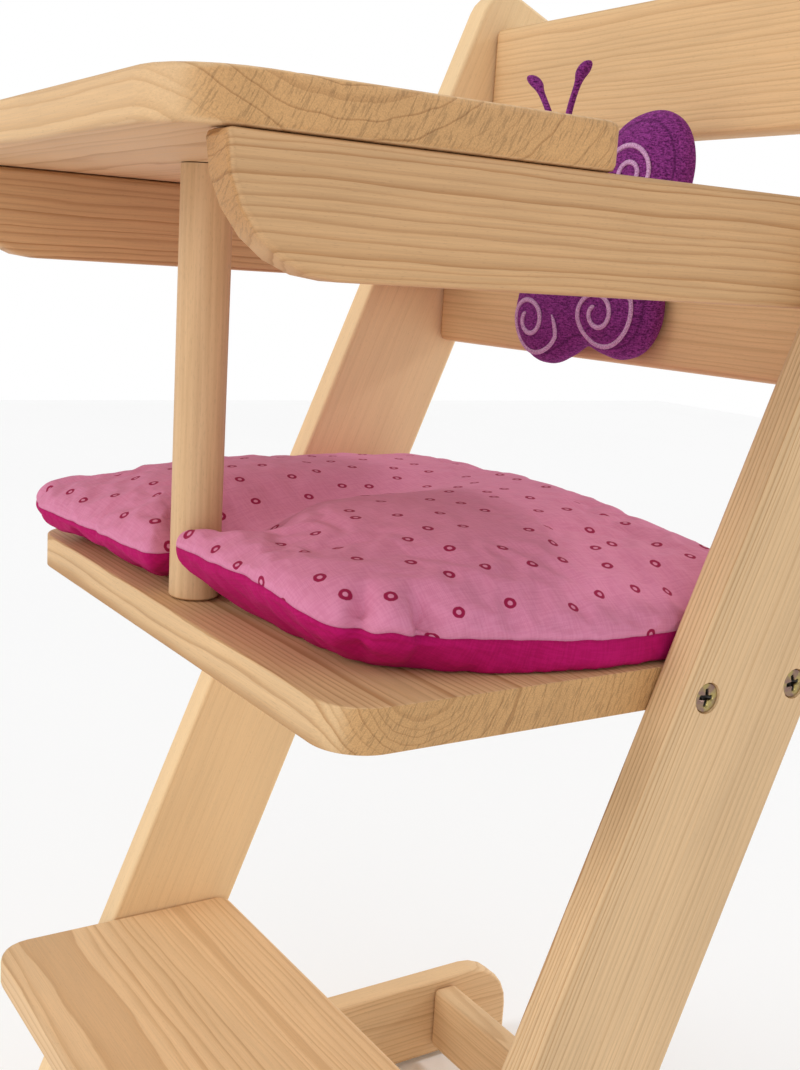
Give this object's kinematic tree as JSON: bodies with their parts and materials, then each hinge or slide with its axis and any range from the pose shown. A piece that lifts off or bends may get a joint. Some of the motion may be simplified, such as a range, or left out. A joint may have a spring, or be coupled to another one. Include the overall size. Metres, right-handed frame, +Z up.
{
  "type": "doll high chair",
  "caption": "Pine high chair for a doll: leaning legs on runners, seat, footrest, back rails, a tray that turns up, seat cushion and plush butterfly.",
  "frame": {"origin": "on the floor under the middle of the chair's bounding box", "axes": "+Z up, -Y to the front, where the tray is, +X to the seated doll's left"},
  "size_m": [0.2562, 0.29, 0.5006],
  "materials": {
    "pine": "satin clear varnish on knotless pine",
    "dowel_wood": "plain turned dowel, fine grain",
    "zinc_yellow": "yellow zinc plated steel",
    "zinc_bright": "bright zinc plated steel",
    "felt": "pressed felt",
    "cushion_cloth": "woven cotton, pink with small rings over plain magenta",
    "plush": "short pile plush with raised spiral stitching",
    "hook_and_loop": "hook-and-loop pad"
  },
  "bodies": {
    "frame": {"left_leg": "pine", "right_leg": "pine", "left_runner": "pine", "right_runner": "pine", "rear_stretcher": "pine", "footrest_board": "pine", "seat_board": "pine", "lower_back_rail": "pine", "upper_back_rail": "pine", "joint_pin_left_1": "dowel_wood", "joint_pin_left_2": "dowel_wood", "joint_pin_right_1": "dowel_wood", "joint_pin_right_2": "dowel_wood", "glide_front_left": "felt", "glide_rear_left": "felt", "glide_front_right": "felt", "glide_rear_right": "felt", "seat_screw_left_1": "zinc_yellow", "seat_screw_left_2": "zinc_yellow", "seat_screw_right_1": "zinc_yellow", "seat_screw_right_2": "zinc_yellow", "footrest_screw_left_1": "zinc_yellow", "footrest_screw_left_2": "zinc_yellow", "footrest_screw_right_1": "zinc_yellow", "footrest_screw_right_2": "zinc_yellow", "lower_back_screw_left_1": "zinc_yellow", "lower_back_screw_left_2": "zinc_yellow", "lower_back_screw_right_1": "zinc_yellow", "lower_back_screw_right_2": "zinc_yellow", "upper_back_screw_left_1": "zinc_yellow", "upper_back_screw_left_2": "zinc_yellow", "upper_back_screw_right_1": "zinc_yellow", "upper_back_screw_right_2": "zinc_yellow", "stretcher_screw_left_1": "zinc_yellow", "stretcher_screw_left_2": "zinc_yellow", "stretcher_screw_right_1": "zinc_yellow", "stretcher_screw_right_2": "zinc_yellow", "pivot_bolt_left": "zinc_bright", "pivot_bolt_right": "zinc_bright", "pivot_washer_left": "zinc_bright", "pivot_washer_right": "zinc_bright", "cap_nut_left": "zinc_bright", "cap_nut_right": "zinc_bright", "seat_cushion": "cushion_cloth", "butterfly_wings": "plush", "butterfly_body": "plush", "left_feeler": "plush", "right_feeler": "plush", "hook_and_loop_patch": "hook_and_loop"},
    "tray": {"tray_board": "pine", "left_tray_arm": "pine", "right_tray_arm": "pine", "crotch_dowel": "dowel_wood", "tray_screw_left_1": "zinc_yellow", "tray_screw_left_2": "zinc_yellow", "tray_screw_right_1": "zinc_yellow", "tray_screw_right_2": "zinc_yellow", "dowel_screw": "zinc_yellow"}
  },
  "joints": [
    {"name": "tray_hinge", "type": "hinge", "parent": "frame", "child": "tray", "pos_m": [0, 0.058, 0.3938], "axis": [-1, 0, 0], "range_deg": [0, 95]}
  ]
}
